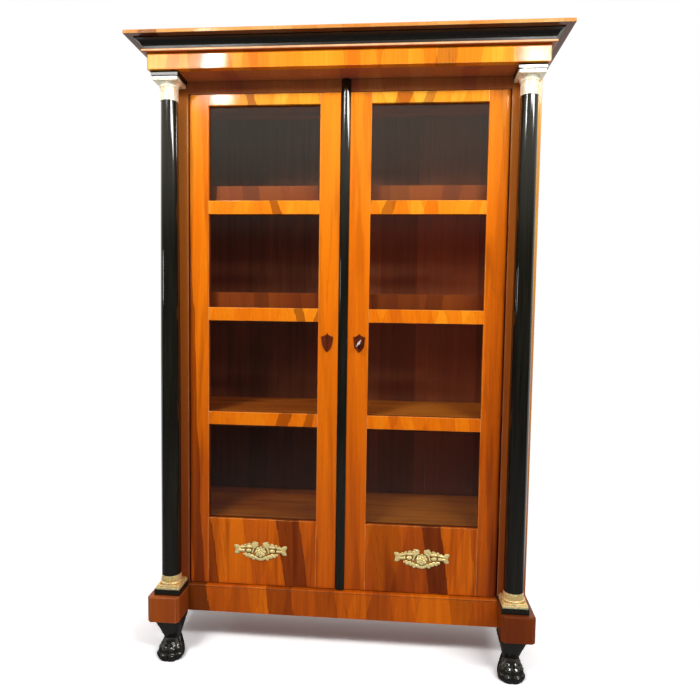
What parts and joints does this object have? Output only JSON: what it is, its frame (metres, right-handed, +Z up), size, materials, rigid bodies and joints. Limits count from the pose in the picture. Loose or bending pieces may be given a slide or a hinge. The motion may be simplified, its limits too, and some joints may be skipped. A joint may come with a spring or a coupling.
{
  "type": "glazed bookcase",
  "caption": "Upright glazed bookcase with black columns, gilt capitals, paw feet, a flared cornice, a pair of barred glass doors on pivots, shelves and a lock with its key.",
  "frame": {"origin": "middle of the footprint box at floor level", "axes": "+X to the right of a viewer facing the doors, +Y to the back, +Z up"},
  "size_m": [1.186, 0.488, 1.783],
  "materials": {
    "cherry_veneer": "shellac polish",
    "ebonised_wood": "gloss black polish",
    "gilt_brass": "satin gilt",
    "glass": "clear",
    "stained_softwood": "brown stain",
    "steel": "filed",
    "key_steel": "worn",
    "dark_inlay": "polished"
  },
  "bodies": {
    "carcase": {"paw_foot_left": "ebonised_wood", "paw_foot_right": "ebonised_wood", "rear_feet": "ebonised_wood", "plinth_block_left": "cherry_veneer", "plinth_block_right": "cherry_veneer", "plinth_front_rail": "cherry_veneer", "plinth_rails": "cherry_veneer", "bottom_board": "stained_softwood", "side_panel_left": "cherry_veneer", "side_panel_right": "cherry_veneer", "pilaster_left": "cherry_veneer", "pilaster_right": "cherry_veneer", "head_rail": "cherry_veneer", "carcase_top": "stained_softwood", "soffit_board": "cherry_veneer", "back_boards": "stained_softwood", "shelf_upper": "stained_softwood", "shelf_middle": "stained_softwood", "shelf_lower": "stained_softwood", "shelf_bottom": "stained_softwood", "shelf_cleats": "stained_softwood", "frieze": "cherry_veneer", "cornice_bead": "cherry_veneer", "cornice_cove": "ebonised_wood", "cornice_top": "cherry_veneer", "column_shaft_left": "ebonised_wood", "column_shaft_right": "ebonised_wood", "column_base_left": "gilt_brass", "column_base_right": "gilt_brass", "column_capital_left": "gilt_brass", "column_capital_right": "gilt_brass", "column_slabs": "ebonised_wood", "pivot_pins": "steel"},
    "left_door": {"left_door_hinge_stile": "cherry_veneer", "left_door_closing_stile": "cherry_veneer", "left_door_top_rail": "cherry_veneer", "left_door_bottom_panel": "cherry_veneer", "left_door_glazing_bars": "cherry_veneer", "left_door_panes": "glass", "left_door_glazing_beads": "cherry_veneer", "left_door_pivot_plates": "gilt_brass", "left_door_escutcheon": "dark_inlay", "left_door_mount": "gilt_brass", "left_door_bolt_staples": "steel"},
    "right_door": {"right_door_hinge_stile": "cherry_veneer", "right_door_closing_stile": "cherry_veneer", "right_door_top_rail": "cherry_veneer", "right_door_bottom_panel": "cherry_veneer", "right_door_glazing_bars": "cherry_veneer", "right_door_panes": "glass", "right_door_glazing_beads": "cherry_veneer", "right_door_pivot_plates": "gilt_brass", "right_door_escutcheon": "dark_inlay", "right_door_mount": "gilt_brass", "right_door_astragal": "ebonised_wood", "lock_case": "steel"},
    "key": {"key": "key_steel"},
    "lock_bolt": {"lock_bolt": "steel"},
    "top_bolt": {"left_door_top_bolt": "steel"},
    "bottom_bolt": {"left_door_bottom_bolt": "steel"}
  },
  "joints": [
    {"name": "left_door_swing", "type": "hinge", "parent": "carcase", "child": "left_door", "pos_m": [-0.452, -0.096, 0.9], "axis": [0, 0, -1], "range_deg": [0, 90]},
    {"name": "right_door_swing", "type": "hinge", "parent": "carcase", "child": "right_door", "pos_m": [0.452, -0.096, 0.9], "axis": [0, 0, 1], "range_deg": [0, 90]},
    {"name": "key_turn", "type": "hinge", "parent": "right_door", "child": "key", "pos_m": [0.047, -0.106, 0.945], "axis": [0, 1, 0], "range_deg": [0, 180]},
    {"name": "lock_bolt_throw", "type": "slide", "parent": "right_door", "child": "lock_bolt", "axis": [-1, 0, 0], "range_m": [0, 0.012]},
    {"name": "top_bolt_throw", "type": "slide", "parent": "left_door", "child": "top_bolt", "axis": [0, 0, 1], "range_m": [0, 0.012]},
    {"name": "bottom_bolt_throw", "type": "slide", "parent": "left_door", "child": "bottom_bolt", "axis": [0, 0, -1], "range_m": [0, 0.012]}
  ],
  "couplings": [
    {"joint": "key_turn", "follows": "lock_bolt_throw", "rad_per_m": 258.9}
  ]
}
